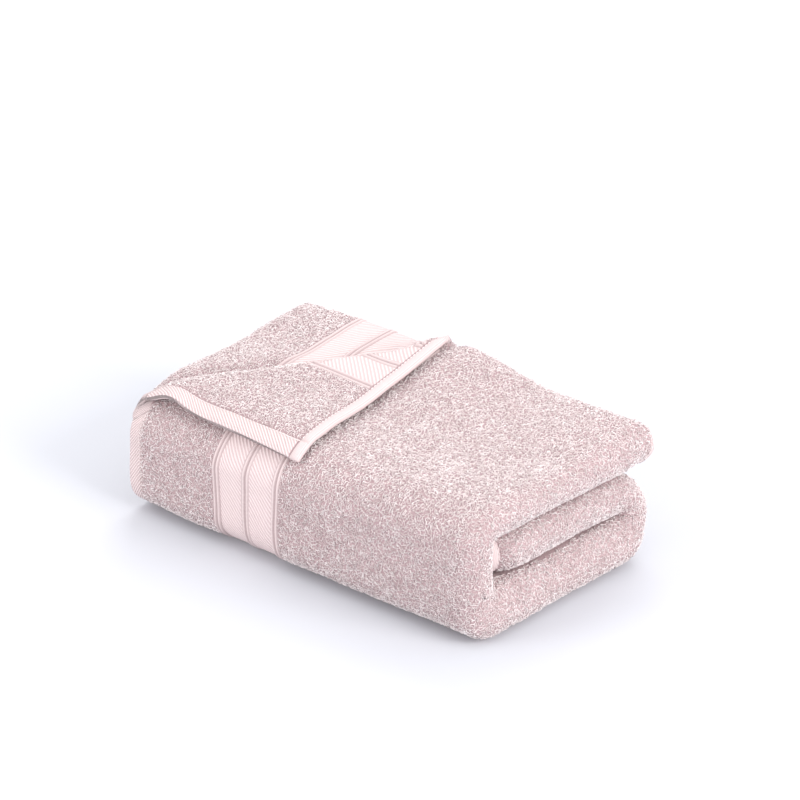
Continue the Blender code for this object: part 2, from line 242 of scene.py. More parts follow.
def soften(points, along, across):
    x, y, z = points[:, 0].copy(), points[:, 1].copy(), points[:, 2].copy()
    level = z / packageHeight
    back = (y + halfWidth) / (2 * halfWidth)
    third = (packageHeight - sheetFold["panelGap"] / 2 - stack) / packageHeight
    low = mix(settle["lowCrease"][0], settle["lowCrease"][1], back)
    high = mix(settle["highCrease"][0], settle["highCrease"][1], back)
    bottomShare = stack / packageHeight
    closed = settle["closed"] / packageHeight
    squeezed = np.where(level < bottomShare, level / bottomShare * low,
                        np.where(level < third,
                                 mix(low - closed, high, (level - bottomShare) / (third - bottomShare)),
                                 high + (level - third) / (1 - third) * (1 - high)))
    toEnd = ease(x, *settle["lips"])
    level = mix(level, squeezed, toEnd)
    rise = mix(settle["leftHeight"], settle["rightHeight"], (x + halfLength) / (2 * halfLength))
    z = level * packageHeight * rise
    isMiddle = ease(across, acrossMarks[4] + settle["middleStart"], acrossMarks[5])
    toEdge = ease(across, totalAcross - settle["edgeBand"], totalAcross)
    drawnIn = settle["recess"] * isMiddle + settle["edgeRecess"] * toEdge
    x = x - drawnIn * ease(x, *settle["rightEnd"])
    resting = 1 - ease(level, *settle["sagLevels"])
    x = x + settle["sagRight"] * ease(x, *settle["sagRightZone"]) * resting
    y = y - settle["sagFront"] * ease(-y, *settle["sagFrontZone"]) * resting
    upper = ease(level, *settle["upperLevels"])
    crown = ease(-y, *settle["crownFront"]) * (1 - ease(x, *settle["crownEnd"]))
    z = z - settle["crown"] * crown * upper
    droop = ease(-x, *settle["droopZone"]) * (1 - 0.5 * ease(y, *settle["droopBack"]))
    z = z - settle["leftDroop"] * droop * upper
    z = z + settle["rearLift"] * ease(y, *settle["rearZone"]) * upper
    behind = -((x - foot[0]) * towardsTip[0] + (y - foot[1]) * towardsTip[1])
    z = z + settle["freed"] * ease(behind, *settle["freedZone"]) * ease(level, *settle["freedLevels"])
    outermost = 1 - ease(along, straight - settle["tentAlong"], straight)
    outermost = outermost * (1 - ease(across, settle["tentAcross"], acrossMarks[0]))
    spread = np.where(x < settle["tentX"], settle["tentSpread"][0], settle["tentSpread"][1])
    ridge = np.exp(-((x - settle["tentX"]) / spread) ** 2)
    z = z + settle["tent"] * ease(y, settle["tentStart"], rearEdge) * ridge * outermost
    moved = np.stack([x, y, z], axis=-1)
    held = ease(moved[:, 2], 0.0, settle["steady"])[:, None]
    moved = moved + lumps(moved, settle["lumpSize"], settle["lump"]) * held
    return moved + lumps(moved, settle["rippleSize"], settle["ripple"]) * held


# Where a point of the sheet lies, lifted off its middle towards the package's outside
def laid(along, across, lift):
    along = np.atleast_1d(np.asarray(along, float))
    across = np.atleast_1d(np.asarray(across, float))
    step = 1e-4
    here = fold(along, across)
    byAlong = fold(along + step, across) - here
    byAcross = fold(along, across + step) - here
    normal = np.cross(byAcross, byAlong)
    normal /= np.linalg.norm(normal, axis=1)[:, None]
    return soften(here + normal * np.reshape(lift, (-1, 1)), along, across)


# The turned-back corner

corner = {
    "tip": (-0.006, -0.0965, 0.0925), "foot": (-0.1745, -0.0945, 0.0910), "peak": (-0.018, 0.0965, 0.1182),
    "hemLeg": 0.171, "sideLeg": 0.176, "inset": 0.007,
    "creaseRise": 0.0075, "hemRise": 0.0065, "sideRise": 0.004,
    "arch": 0.0090, "archAt": 0.80, "archWidth": 0.12, "archFade": 1.6, "clear": 0.0052, "soft": 0.002,
    "roll": 0.0066, "rollGrow": 0.15, "rollReach": 0.006, "rollRange": (0.004, 0.012),
    "follow": (0.2, 0.5), "lap": 0.0012,
}
tip, foot, peak = (np.array(corner[name]) for name in ("tip", "foot", "peak"))
creaseRun = (peak - foot) * (1, 1, 0)
creaseRun /= np.linalg.norm(creaseRun)
towardsTip = np.array([creaseRun[1], -creaseRun[0], 0.0])
insetShare = corner["inset"] / float((tip - foot) @ towardsTip)


# How far across the outermost layer lies below or above a y of the package's top
def acrossAt(y):
    y = np.asarray(y, float)
    behind = np.arcsin(np.clip((y - bendY) / rearBend["radius"], 0, 1))
    ahead = np.arcsin(np.clip((frontTurn - y) / frontRadius, 0, 1))
    flat = bendLength + bendY - y
    across = np.where(y > bendY, bendLength - rearBend["radius"] * behind, flat)
    return np.where(y < frontTurn, acrossMarks[0] + frontRadius * ahead, across)


# Height of the outermost layer's outside under the corner
def topSurface(x, y):
    return laid(x + halfLength, acrossAt(y), sheetFold["thick"] / 2)[:, 2]


# Where a point of the corner lies, from its distances to the end hem's and the side's edge
def cornerPlace(fromHem, fromSide):
    toPeak = np.asarray(fromHem, float) / corner["sideLeg"]
    toFoot = np.asarray(fromSide, float) / corner["hemLeg"]
    atTip = 1 - toPeak - toFoot
    place = atTip[:, None] * tip + toPeak[:, None] * peak + toFoot[:, None] * foot
    rise = 4 * (corner["creaseRise"] * toPeak * toFoot + corner["hemRise"] * toFoot * atTip
                + corner["sideRise"] * toPeak * atTip)
    arch = corner["arch"] * np.exp(-((toFoot - corner["archAt"]) / corner["archWidth"]) ** 2)
    place[:, 2] += rise + arch * np.clip(1 - toPeak * corner["archFade"], 0, 1) ** 2
    least = topSurface(place[:, 0], place[:, 1]) + corner["clear"]
    over = place[:, 2] - least
    soft = corner["soft"]
    place[:, 2] = least + np.where(over > 0, over, 0) + soft * np.log1p(np.exp(-np.abs(over) / soft))
    return place


def cornerLaid(fromHem, fromSide, lift):
    step = 1e-3
    here = cornerPlace(fromHem, fromSide)
    byHem = cornerPlace(fromHem + step, fromSide) - here
    bySide = cornerPlace(fromHem, fromSide + step) - here
    normal = np.cross(byHem, bySide)
    normal /= np.linalg.norm(normal, axis=1)[:, None]
    return here + normal * np.reshape(lift, (-1, 1))


# Zones of the weave

kinds = ("terry", "hem", "twill", "ribs", "selvedge", "groove")
weave = {"terry": 0.0046, "hem": 0.0054, "twill": 0.0050, "ribLow": 0.0038, "ribHigh": 0.0068,
         "edge": 0.0024, "edgeBand": 0.0015, "seam": 0.0030, "groove": 0.0008}
fullThick = weave["ribHigh"]


# Index into kinds, for a point of the flat sheet
def zoneOf(along, across):
    fromEnd = min(along, totalAlong - along)
    fromSide = min(across, totalAcross - across)
    if fromSide < sideHemWidth:
        return kinds.index("selvedge")
    if fromSide < sideHemWidth + weave["groove"] or hemWidth < fromEnd < hemWidth + weave["groove"]:
        return kinds.index("groove")
    for end, kind in zip(zoneEnds, zoneKinds):
        if fromEnd < end:
            return kinds.index(kind)
    return kinds.index("terry")


def thickness(along, across):
    fromEnd = min(along, totalAlong - along)
    fromSide = min(across, totalAcross - across)
    thick = weave["terry"]
    for start, end, kind in zip(zoneStarts, zoneEnds, zoneKinds):
        if start <= fromEnd <= end:
            thick = weave["ribLow"] if kind == "ribs" else weave[kind]
            if kind == "ribs":
                share = (fromEnd - start) / (end - start)
                thick += (weave["ribHigh"] - weave["ribLow"]) * (0.5 - 0.5 * math.cos(4 * math.pi * share))
            break
    if fromSide < sideHemWidth:
        thick = weave["hem"]
    if abs(fromEnd - hemWidth) < 1e-6 or abs(fromSide - sideHemWidth) < 1e-6:
        thick = weave["seam"]
    nearest = min(fromEnd, fromSide)
    return mix(weave["edge"], thick, min(nearest / weave["edgeBand"], 1.0))


# Distances between the grid's lines
grid = {"rib": 0.00075, "least": 0.0004, "seam": 0.0010, "field": 0.0045, "flat": 0.004, "bend": 0.003,
        "end": 0.24, "hidden": 0.025, "inner": 0.012, "outerTurn": 0.0022, "tightTurn": 0.0025,
        "innerTurn": 0.0035, "under": 0.009, "middle": 0.010, "rollSteps": 12}
hemLines = [0.0, weave["edgeBand"], 0.005]


# Lines across the sheet near an end hem: close together where the weave changes
def zoneLines(last):
    lines = hemLines + [0.009, hemWidth - grid["seam"], hemWidth, hemWidth + weave["groove"]]
    for start, end, kind in zip(zoneStarts[1:], zoneEnds[1:], zoneKinds[1:]):
        step = grid["rib"] if kind == "ribs" else grid["flat"]
        lines += [line for line in spaced(start, end, step)[1:] if line > lines[-1] + grid["least"]]
    return lines + spaced(zoneEnds[-1], last, grid["field"])[1:]


def alongLines():
    m = alongMarks
    runs = [(m[0] - 0.004, m[1] + 0.012, "outerTurn"), (m[1] + 0.012, m[2] - 0.005, "hidden"),
            (m[2] - 0.005, m[3] + 0.005, "tightTurn"), (m[3] + 0.005, m[4], "hidden"),
            (m[4], m[5], "innerTurn")]
    lines = zoneLines(runs[0][0])
    for start, end, step in runs:
        lines += spaced(start, end, grid[step])[1:]
    lines += spaced(m[5], totalAlong - grid["end"], grid["inner"])[1:-1]
    return lines + [totalAlong - d for d in reversed(zoneLines(grid["end"]))]


def sideLines():
    return hemLines + [sideHemWidth - grid["seam"], sideHemWidth, sideHemWidth + weave["groove"]]


def acrossLines():
    m = acrossMarks
    runs = [(sideHemWidth, m[0], "flat"), (m[0], m[1], "bend"), (m[1], m[2], "flat"), (m[2], m[3], "bend"),
            (m[3], m[4], "under"), (m[4], m[5], "flat"), (m[5], totalAcross - sideHemWidth, "middle")]
    lines = sideLines()
    for start, end, step in runs:
        lines += spaced(start, end, grid[step])[1:]
    return lines[:-1] + [totalAcross - d for d in reversed(sideLines())]


# Meshes


# A grid whose lines lie at these distances, in its own flat plane
def flatGrid(alongs, acrosses):
    shape = bmesh.new()
    bmesh.ops.create_grid(shape, x_segments=len(alongs) - 1, y_segments=len(acrosses) - 1, size=1.0)
    for vert in shape.verts:
        i = round((vert.co.x + 1) / 2 * (len(alongs) - 1))
        j = round((vert.co.y + 1) / 2 * (len(acrosses) - 1))
        vert.co = (alongs[i], acrosses[j], 0.0)
    return shape


# Cuts the flat grid along the line through a and b, and drops the side away from keep
def cutAlong(shape, a, b, keep):
    direction = Vector((b[0] - a[0], b[1] - a[1], 0.0))
    normal = Vector((-direction.y, direction.x, 0.0)).normalized()
    if (Vector((keep[0], keep[1], 0.0)) - Vector((a[0], a[1], 0.0))).dot(normal) > 0:
        normal = -normal
    geometry = shape.verts[:] + shape.edges[:] + shape.faces[:]
    bmesh.ops.bisect_plane(shape, geom=geometry, dist=1e-6, plane_co=(a[0], a[1], 0.0),
                           plane_no=normal, clear_outer=True)
    near = [v for v in shape.verts if abs((v.co - Vector((a[0], a[1], 0.0))).dot(normal)) < 1e-5]
    bmesh.ops.remove_doubles(shape, verts=near, dist=0.0003)


def numbersOf(mesh, name):
    values = np.zeros(len(mesh.vertices))
    mesh.attributes[name].data.foreach_get("value", values)
    return values


def placesOf(mesh):
    places = np.zeros(len(mesh.vertices) * 3)
    mesh.vertices.foreach_get("co", places)
    return places.reshape(-1, 3)


def asObject(name, mesh):
    item = bpy.data.objects.new(name, mesh)
    bpy.context.scene.collection.objects.link(item)
    return item


def remember(mesh, name, values):
    attribute = mesh.attributes.new(name, "FLOAT", "POINT")
    attribute.data.foreach_set("value", np.asarray(values, np.float32))


# A piece of the sheet: surface gives its middle, and moved settles the solid cloth
def clothPiece(name, shape, flatPlaces, surface, moved, facing):
    mesh = bpy.data.meshes.new(name)
    for look in clothLooks:
        mesh.materials.append(look)
    shape.normal_update()
    shape.to_mesh(mesh)
    shape.free()
    flat = placesOf(mesh)
    along, across = flatPlaces(flat[:, 0], flat[:, 1])
    mesh.vertices.foreach_set("co", surface(flat[:, 0], flat[:, 1]).reshape(-1))
    remember(mesh, "flatAlong", along)
    remember(mesh, "flatAcross", across)
    thicknesses = np.array([thickness(a, c) for a, c in zip(along, across)])
    remember(mesh, "rise", (thicknesses - weave["ribLow"]) / (weave["ribHigh"] - weave["ribLow"]))
    for face in mesh.polygons:
        ids = list(face.vertices)
        face.material_index = zoneOf(float(np.mean(along[ids])), float(np.mean(across[ids])))
    mesh.update()
    item = asObject(name, mesh)
    group = item.vertex_groups.new(name="thickness")
    for i, thick in enumerate(thicknesses):
        group.add([i], thick / fullThick, "REPLACE")
    solid = item.modifiers.new("solid", "SOLIDIFY")
    solid.thickness = fullThick
    solid.offset = 0.0
    solid.vertex_group = group.name
    solid.use_quality_normals = True
    bpy.context.view_layer.update()
    made = bpy.data.meshes.new_from_object(item.evaluated_get(bpy.context.evaluated_depsgraph_get()))
    item.modifiers.clear()
    item.vertex_groups.clear()
    count = len(mesh.polygons)
    item.data = made
    made.name = name
    settled = moved(placesOf(made), numbersOf(made, "flatAlong"), numbersOf(made, "flatAcross"))
    settled[:, 2] = np.maximum(settled[:, 2], settle["floorGap"])
    remember(made, "side", np.where(np.arange(len(settled)) < len(flat), facing, -facing))
    made.vertices.foreach_set("co", settled.reshape(-1))
    made.shade_smooth()
    made.update()
    item["sideFaces"] = count
    return item


def staysPut(points, along, across):
    return points


def buildTowel():
    shape = flatGrid(alongLines(), acrossLines())
    bmesh.ops.reverse_faces(shape, faces=shape.faces)
    cutAlong(shape, lowSeamFlat(0.0), lowSeamFlat(1.0), (0.5, 0.5))
    return clothPiece("towelCloth", shape, lambda a, c: (a, c), fold, soften, 1.0)


# The cut edge of the outermost layer, under the corner's crease, as a flat place
def lowSeamFlat(share):
    place = foot + (peak - foot) * share + towardsTip * corner["inset"]
    return place[0] + halfLength, float(acrossAt(place[1]))


def buildCorner():
    acrosses = sideLines() + spaced(sideHemWidth, corner["hemLeg"], grid["flat"])[1:]
    shape = flatGrid(zoneLines(corner["sideLeg"]), acrosses)
    a = (0.0, corner["hemLeg"] * (1 - insetShare))
    b = (corner["sideLeg"] * (1 - insetShare), 0.0)
    cutAlong(shape, a, b, (0.0, 0.0))
    return clothPiece("cornerCloth", shape, lambda a, c: (a, c), cornerPlace, staysPut, -1.0)


# The corner's cut edge and the outermost layer's, at shares of the way along the crease
def rollEdges(share):
    whole = 1 - insetShare
    hem = corner["sideLeg"] * whole * share
    side = corner["hemLeg"] * whole * (1 - share)
    high = cornerPlace(hem, side)
    first, last = np.array(lowSeamFlat(0.0)), np.array(lowSeamFlat(1.0))
    slope = (last - first) / (last[0] - first[0])
    flat = first - slope * first[0] + slope * (last[0] * share)[:, None]
    low = laid(flat[:, 0], np.maximum(flat[:, 1], 0.0), 0.0)
    return high, low, hem, side, flat


def rollPlace(share, turn):
    high, low, hem, side, flat = rollEdges(share)
    step = 1e-4
    onCorner = cornerPlace(hem + step * corner["hemLeg"], side + step * corner["sideLeg"]) - high
    beyond = flat + step * np.array((-towardsTip[0], towardsTip[1]))
    onTowel = laid(beyond[:, 0], np.maximum(beyond[:, 1], 0.0), 0.0) - low
    onCorner /= np.linalg.norm(onCorner, axis=1)[:, None]
    level = ease(share, *corner["follow"])[:, None]
    onTowel = onTowel / np.linalg.norm(onTowel, axis=1)[:, None] * (1 - level) - towardsTip * level
    high -= onCorner * corner["lap"]
    low -= onTowel * corner["lap"]
    reach = np.linalg.norm(high - low, axis=1) / 2
    bulge = np.clip(corner["roll"] + corner["rollGrow"] * (reach - corner["rollReach"]), *corner["rollRange"])
    pull = bulge[:, None] / 0.75  # a cubic curve reaches three quarters of the way to its handles
    t = (turn / math.pi)[:, None]
    return ((1 - t) ** 3 * high + 3 * (1 - t) ** 2 * t * (high + onCorner * pull)
            + 3 * (1 - t) * t ** 2 * (low + onTowel * pull) + t ** 3 * low)


def rollFlat(share, turn):
    _, _, hem, side, flat = rollEdges(share)
    lower = (turn / math.pi)
    return mix(hem, flat[:, 0], lower), mix(side, flat[:, 1], lower)


# The cloth that goes round the crease, from the outermost layer up into the corner
def buildRoll():
    whole = corner["sideLeg"] * (1 - insetShare)
    lines = [line / whole for line in zoneLines(whole)]
    shape = flatGrid(lines, spaced(0.0, math.pi, math.pi / grid["rollSteps"]))
    return clothPiece("creaseCloth", shape, rollFlat, rollPlace, staysPut, -1.0)


# Shader helpers


# A shader socket that takes part in arithmetic
class Wire:
    def __init__(self, graph, socket):
        self.graph = graph
        self.socket = socket

    def maths(self, operation, first, second=None):
        return self.graph.node("ShaderNodeMath", {"operation": operation},
                               [first] if second is None else [first, second])

    def __add__(self, other):
        return self.maths("ADD", self, other)

    def __radd__(self, other):
        return self.maths("ADD", other, self)

    def __mul__(self, other):
        return self.maths("MULTIPLY", self, other)

    def __rmul__(self, other):
        return self.maths("MULTIPLY", other, self)

    def wave(self):
        return self.maths("SINE", self)


# The nodes of one material
class Graph:
    def __init__(self, name):
        self.material = bpy.data.materials.new(name)
        self.material.use_nodes = True
        self.tree = self.material.node_tree
        self.shader = self.tree.nodes["Principled BSDF"]

    def node(self, kind, settings, values, output=0):
        made = self.tree.nodes.new(kind)
        for key, value in settings.items():
            setattr(made, key, value)
        pairs = values.items() if isinstance(values, dict) else enumerate(values)
        for key, value in pairs:
            if isinstance(value, Wire):
                self.tree.links.new(value.socket, made.inputs[key])
            else:
                made.inputs[key].default_value = value
        return Wire(self, made.outputs[output])

    def attribute(self, name):
        return self.node("ShaderNodeAttribute", {"attribute_name": name}, {}, "Fac")

    def noise(self, scale, detail=2.0):
        place = self.node("ShaderNodeTexCoord", {}, {}, "Object")
        values = {"Vector": place, "Scale": scale, "Detail": detail}
        return self.node("ShaderNodeTexNoise", {}, values, "Fac")

    def colours(self, share, first, second):
        return self.node("ShaderNodeMix", {"data_type": "RGBA"},
                         {0: share, 6: (*first, 1.0), 7: (*second, 1.0)}, 2)

    def within(self, value, low, high):
        return self.node("ShaderNodeMapRange", {}, {0: value, 1: low, 2: high, 3: 0.0, 4: 1.0})

    def relief(self, height, distance, strength):
        values = {"Height": height, "Distance": distance, "Strength": strength}
        return self.node("ShaderNodeBump", {}, values)

    def link(self, wire, name):
        self.tree.links.new(wire.socket, self.shader.inputs[name])


looks = {
    # painted shade: the terry's base is darkened for the shade beneath its loops
    "groundShade": ((0.355, 0.245, 0.255), (0.52, 0.39, 0.40)),
    # the loop colours' dark end is partly painted shade at the loop roots, partly the yarn's random tone
    "loop": ((0.63, 0.49, 0.495), (1.0, 0.965, 0.96)),
    # painted shade: the dark ends of the hem and twill colours are for their grooves
    "hem": ((0.54, 0.41, 0.41), (0.82, 0.70, 0.695)),
    "twill": ((0.58, 0.445, 0.445), (0.80, 0.685, 0.68)),
    # painted shade: the ribs' dark colour is for the valleys between the cords
    "ribs": ((0.36, 0.255, 0.26), (0.78, 0.665, 0.66)),
    # painted shade: the selvedge's dark colour is for the grooves between its yarns
    "selvedge": ((0.52, 0.40, 0.40), (0.76, 0.645, 0.64)),
    "thread": ((0.72, 0.60, 0.60), (0.92, 0.83, 0.83)),
}


def clothShade(graph, roughness):
    graph.shader.inputs["Roughness"].default_value = roughness
    graph.shader.inputs["Specular IOR Level"].default_value = 0.15
    graph.shader.inputs["Sheen Weight"].default_value = 0.15
    graph.shader.inputs["Sheen Roughness"].default_value = 0.5


# The terry's base weave, darkened as painted shade beneath the loops and in the bare grooves by the hems; the
# fine noise gives random tone
def terryGroundShade():
    graph = Graph("terryGroundShade")
    clothShade(graph, 0.95)
    fine = graph.noise(900.0)
    graph.link(graph.colours(fine, *looks["groundShade"]), "Base Color")
    graph.link(graph.relief(fine, 0.0008, 0.9), "Normal")
    return graph.material


def loopYarn():
    graph = Graph("loopYarn")
    clothShade(graph, 0.92)
    patch = graph.noise(70.0, 3.0)
    # Random tint per loop and random patches are the yarn's own tone; the height up each loop darkens the
    # roots and lightens the tops, painted shade
    share = graph.attribute("tint") * 0.35 + graph.attribute("heightShade") * 0.45
    share = share + graph.within(patch, 0.3, 0.7) * 0.2
    graph.link(graph.colours(share, *looks["loop"]), "Base Color")
    fibres = graph.noise(2600.0)
    graph.link(graph.relief(fibres, 0.0002, 0.6), "Normal")
    return graph.material


# Ridges of the hems and the border: slope is the step along for each step across
ridged = {
    "hem": {"slope": 0.65, "ridge": 0.0023, "depth": 0.0008, "roughness": 0.85},
    "twill": {"slope": -0.85, "ridge": 0.0036, "depth": 0.0008, "roughness": 0.8},
}
yarnWidth = 0.0011


# A doubled hem slants the other way on its reverse
def ridgedCloth(name, doubled):
    graph = Graph(name)
    cloth = ridged[name]
    clothShade(graph, cloth["roughness"])
    warp = graph.noise(60.0)
    slant = graph.attribute("side") * cloth["slope"] if doubled else cloth["slope"]
    run = graph.attribute("flatAlong") + graph.attribute("flatAcross") * slant
    ridges = (run * (2 * math.pi / cloth["ridge"]) + warp * 1.5).wave() * 0.5 + 0.5
    yarns = (graph.attribute("flatAcross") * (2 * math.pi / yarnWidth)).wave() * 0.5 + 0.5
    fine = graph.noise(1500.0)
    height = ridges * 0.7 + yarns * 0.15 + fine * 0.25
    # The colour follows the relief: darker in the grooves between the ridges and the yarns, painted shade;
    # the fine noise adds random tone
    share = graph.within(height, 0.15, 0.95)
    graph.link(graph.colours(share, *looks[name]), "Base Color")
    graph.link(graph.relief(height, cloth["depth"], 1.0), "Normal")
    return graph.material


# Fine cloth whose yarns lie side by side, as on the rib pairs and the side hems; its colour is darker between
# the yarns, painted shade, with random tone from the noise
def corded(name, depth):
    graph = Graph(name)
    clothShade(graph, 0.85)
    yarns = (graph.attribute("flatAcross") * (2 * math.pi / 0.0012)).wave() * 0.5 + 0.5
    fine = graph.noise(1500.0)
    height = yarns * 0.6 + fine * 0.4
    # On the ribs the colour also darkens where the cloth is thin, in the valleys between the cords: painted
    # shade
    share = height * 0.4 + graph.attribute("rise") * 0.6 if name == "ribs" else height
    graph.link(graph.colours(share, *looks[name]), "Base Color")
    graph.link(graph.relief(height, depth, 0.8), "Normal")
    return graph.material


def threadLook():
    graph = Graph("thread")
    clothShade(graph, 0.6)
    fine = graph.noise(3000.0)
    graph.link(graph.colours(fine, *looks["thread"]), "Base Color")
    graph.link(graph.relief(fine, 0.0001, 0.6), "Normal")
    return graph.material


# Terry pile: real loops of yarn standing on the cloth

pile = {"spacing": 0.00131, "most": 4000000.0, "across": 0.00112, "yarn": 0.00038, "bend": 200, "steps": 4,
        "shift": 0.00035, "sink": 0.0004, "tilt": 0.75, "small": 0.8, "large": 1.25, "chunk": 0.0185,
        "cover": 0.006, "above": 0.0006, "under": 0.006, "floorGap": 0.0002}


def loopShape():
    shape = bmesh.new()
    bmesh.ops.create_circle(shape, segments=3, radius=pile["yarn"])
    bmesh.ops.rotate(shape, verts=shape.verts, cent=(0, 0, 0), matrix=Matrix.Rotation(math.pi / 2, 3, "X"))
    bmesh.ops.translate(shape, verts=shape.verts, vec=(pile["across"], 0, 0))
    bmesh.ops.rotate(shape, verts=shape.verts, cent=(0, 0, 0), matrix=Matrix.Rotation(math.pi / 2, 3, "Z"))
    bmesh.ops.spin(shape, geom=shape.verts[:] + shape.edges[:], cent=(0, 0, 0), axis=(1, 0, 0),
                   dvec=(pile["shift"], 0, 0), angle=math.radians(pile["bend"]), steps=pile["steps"])
    bmesh.ops.translate(shape, verts=shape.verts, vec=(0, 0, -pile["sink"]))
    bmesh.ops.recalc_face_normals(shape, faces=shape.faces)
    mesh = bpy.data.meshes.new("loopShape")
    shape.to_mesh(mesh)
    shape.free()
    # Height up the loop, kept for the painted shade that darkens the loop towards its root
    heights = placesOf(mesh)[:, 2]
    remember(mesh, "heightShade", (heights - heights.min()) / (heights.max() - heights.min()))
    mesh.shade_smooth()
    return asObject("loopShape", mesh)


def pileTree(loop):
    tree = bpy.data.node_groups.new("pile", "GeometryNodeTree")
    tree.interface.new_socket("Geometry", in_out="INPUT", socket_type="NodeSocketGeometry")
    tree.interface.new_socket("Geometry", in_out="OUTPUT", socket_type="NodeSocketGeometry")

    def add(kind, settings=None, values=None):
        made = tree.nodes.new(kind)
        for key, value in (settings or {}).items():
            setattr(made, key, value)
        for key, value in (values or {}).items():
            if isinstance(value, bpy.types.NodeSocket):
                tree.links.new(value, made.inputs[key])
            else:
                made.inputs[key].default_value = value
        return made

    start = add("NodeGroupInput")
    spread = add("GeometryNodeDistributePointsOnFaces", {"distribute_method": "POISSON"},
                 {"Mesh": start.outputs[0], "Distance Min": pile["spacing"], "Density Max": pile["most"]})
    lean = pile["tilt"]
    turn = add("FunctionNodeRandomValue", {"data_type": "FLOAT_VECTOR"},
               {0: (-lean, -lean, 0.0), 1: (lean, lean, 2 * math.pi)})
    turned = add("FunctionNodeRotateRotation", {"rotation_space": "LOCAL"},
                 {0: spread.outputs["Rotation"], 1: turn.outputs[0]})
    size = add("FunctionNodeRandomValue", {"data_type": "FLOAT_VECTOR"},
               {0: (pile["small"],) * 3, 1: (pile["large"],) * 3, "Seed": 3})
    shape = add("GeometryNodeObjectInfo", {}, {"Object": loop})
    put = add("GeometryNodeInstanceOnPoints", {},
              {"Points": spread.outputs["Points"], "Instance": shape.outputs["Geometry"],
               "Rotation": turned.outputs[0], "Scale": size.outputs[0]})
    tint = add("FunctionNodeRandomValue", {"data_type": "FLOAT"}, {"Seed": 7})
    kept = add("GeometryNodeStoreNamedAttribute", {"data_type": "FLOAT", "domain": "INSTANCE"},
               {"Geometry": put.outputs[0], "Name": "tint", "Value": tint.outputs[1]})
    real = add("GeometryNodeRealizeInstances", {}, {"Geometry": kept.outputs[0]})
    add("NodeGroupOutput", {}, {0: real.outputs[0]})
    return tree


def faceFacts(mesh):
    count = len(mesh.polygons)
    centres, normals, areas = np.zeros(count * 3), np.zeros(count * 3), np.zeros(count)
    zones = np.zeros(count, int)
    mesh.polygons.foreach_get("center", centres)
    mesh.polygons.foreach_get("normal", normals)
    mesh.polygons.foreach_get("area", areas)
    mesh.polygons.foreach_get("material_index", zones)
    return centres.reshape(-1, 3), normals.reshape(-1, 3), areas, zones


# Loops on the chosen faces of source, as one mesh
def growPile(name, source, chosen, tree, look):
    shape = bmesh.new()
    shape.from_mesh(source.data)
    shape.faces.ensure_lookup_table()
    bmesh.ops.delete(shape, geom=[f for f in shape.faces if not chosen[f.index]], context="FACES")
    mesh = bpy.data.meshes.new(name + "_bed")
    shape.to_mesh(mesh)
    shape.free()
    bed = asObject(name + "_bed", mesh)
    grow = bed.modifiers.new("pile", "NODES")
    grow.node_group = tree
    bpy.context.view_layer.update()
    grown = bpy.data.meshes.new_from_object(bed.evaluated_get(bpy.context.evaluated_depsgraph_get()))
    bpy.data.objects.remove(bed)
    for extra in ("flatAlong", "flatAcross", "rise", "side"):
        if extra in grown.attributes:
            grown.attributes.remove(grown.attributes[extra])
    grown.materials.clear()
    grown.materials.append(look)
    places = placesOf(grown)
    places[:, 2] = np.maximum(places[:, 2], pile["floorGap"])
    grown.vertices.foreach_set("co", places.reshape(-1))
    grown.update()
    return asObject(name, grown)


# Which terry faces of the package face open air
def openFaces(mesh, count):
    centres, normals, areas, zones = faceFacts(mesh)
    tree = BVHTree.FromPolygons([v.co for v in mesh.vertices], [tuple(p.vertices) for p in mesh.polygons])
    chosen = (zones == kinds.index("terry"))
    chosen[2 * count:] = False
    under = (normals[:, 2] < -0.6) & (centres[:, 2] < pile["under"])
    chosen &= ~under
    for i in np.nonzero(chosen)[0]:
        c, n = Vector(centres[i]), Vector(normals[i])
        if tree.ray_cast(c + n * pile["above"], n, pile["cover"])[0] is not None:
            chosen[i] = False
    return chosen, centres, normals, areas


def growOnTowel(towel, tree, look):
    chosen, centres, normals, areas = openFaces(towel.data, towel["sideFaces"])
    regions = {
        "Top": (normals[:, 2] > 0.55) & (centres[:, 2] > 0.05),
        "Right": (normals[:, 0] > 0.45) & (centres[:, 0] > 0.10),
        "Front": (normals[:, 1] < -0.2) & (centres[:, 1] < -0.06),
        "Rear": (normals[:, 1] > 0.2) & (centres[:, 1] > 0.05),
        "Ends": np.ones(len(areas), bool),
    }
    free = chosen.copy()
    grown = []
    for region, inside in regions.items():
        mine = free & inside
        free &= ~inside
        area = areas[mine].sum()
        if area < 1e-6:
            continue
        parts = int(math.ceil(area / pile["chunk"]))
        key = centres[:, 1] if region == "Right" else centres[:, 0]
        order = np.argsort(np.where(mine, key, np.inf), kind="stable")[: mine.sum()]
        share = np.cumsum(areas[order]) / area
        for i in range(parts):
            picked = np.zeros(len(areas), bool)
            picked[order[(share > i / parts - 1e-9) & (share <= (i + 1) / parts + 1e-9)]] = True
            name = f"pile{region}{i + 1}" if parts > 1 else f"pile{region}"
            grown.append(growPile(name, towel, picked, tree, look))
        print("pile", region, round(area * 1e4), "square cm")
    return grown


# Stitches

stitch = {"long": 0.0025, "step": 0.0034, "thick": 0.00042, "inset": 0.0013, "lift": 0.0001, "start": 0.002}
inset = hemWidth - stitch["inset"]
sideInset = sideHemWidth - stitch["inset"]
lift = weave["hem"] / 2 + stitch["lift"]


